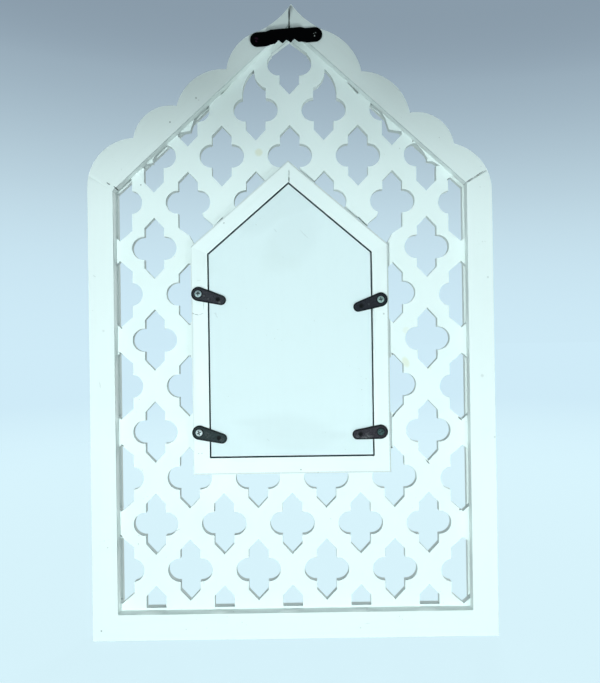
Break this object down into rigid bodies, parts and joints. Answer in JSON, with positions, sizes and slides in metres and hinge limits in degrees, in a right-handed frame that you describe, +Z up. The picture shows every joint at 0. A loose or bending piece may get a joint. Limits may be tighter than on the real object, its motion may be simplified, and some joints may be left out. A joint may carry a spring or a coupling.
{
  "type": "wall mirror",
  "caption": "Small arched wall mirror in a pierced wooden lattice with a scalloped frame, a backing board held by turn buttons, and a sawtooth hanger.",
  "frame": {"origin": "middle of the bottom rail's underside, at half the frame's thickness", "axes": "+Z up along the height, +Y out of the back, the mirror faces -Y; seen from the back, right is -X"},
  "size_m": [0.355, 0.0237, 0.5565],
  "materials": {
    "frame_paint": "white painted wood, eggshell",
    "lattice_paint": "white painted wood, eggshell",
    "mirror_frame_paint": "white painted wood, eggshell",
    "mirror_glass": "silvered glass",
    "board_paint": "white painted board, matt",
    "black_steel": "black coated steel",
    "bright_steel": "zinc plated steel",
    "hanger_steel": "black coated steel",
    "bare_wood": "unfinished hardwood",
    "brad_steel": "plain steel"
  },
  "bodies": {
    "root": {"left_stile": "frame_paint", "right_stile": "frame_paint", "bottom_rail": "frame_paint", "left_arch_rail": "frame_paint", "right_arch_rail": "frame_paint", "jali_panel": "lattice_paint", "mirror_left_stile": "mirror_frame_paint", "mirror_right_stile": "mirror_frame_paint", "mirror_sill": "mirror_frame_paint", "mirror_left_rafter": "mirror_frame_paint", "mirror_right_rafter": "mirror_frame_paint", "mirror_glass": "mirror_glass", "backing_board": "board_paint", "button_screws": "bright_steel", "sawtooth_hanger": "hanger_steel", "hanger_nails": "hanger_steel", "frame_dowels": "bare_wood", "mirror_frame_brads": "brad_steel"},
    "upper_left_turn": {"upper_left_button": "black_steel"},
    "upper_right_turn": {"upper_right_button": "black_steel"},
    "lower_left_turn": {"lower_left_button": "black_steel"},
    "lower_right_turn": {"lower_right_button": "black_steel"}
  },
  "joints": [
    {"name": "upper_left_swivel", "type": "hinge", "parent": "root", "child": "upper_left_turn", "pos_m": [0.08125, 0.0108, 0.3026], "axis": [0, 1, 0], "continuous": true},
    {"name": "upper_right_swivel", "type": "hinge", "parent": "root", "child": "upper_right_turn", "pos_m": [-0.07825, 0.0108, 0.2955], "axis": [0, 1, 0], "continuous": true},
    {"name": "lower_left_swivel", "type": "hinge", "parent": "root", "child": "lower_left_turn", "pos_m": [0.08195, 0.0108, 0.1813], "axis": [0, 1, 0], "continuous": true},
    {"name": "lower_right_swivel", "type": "hinge", "parent": "root", "child": "lower_right_turn", "pos_m": [-0.07675, 0.0108, 0.1799], "axis": [0, 1, 0], "continuous": true}
  ]
}
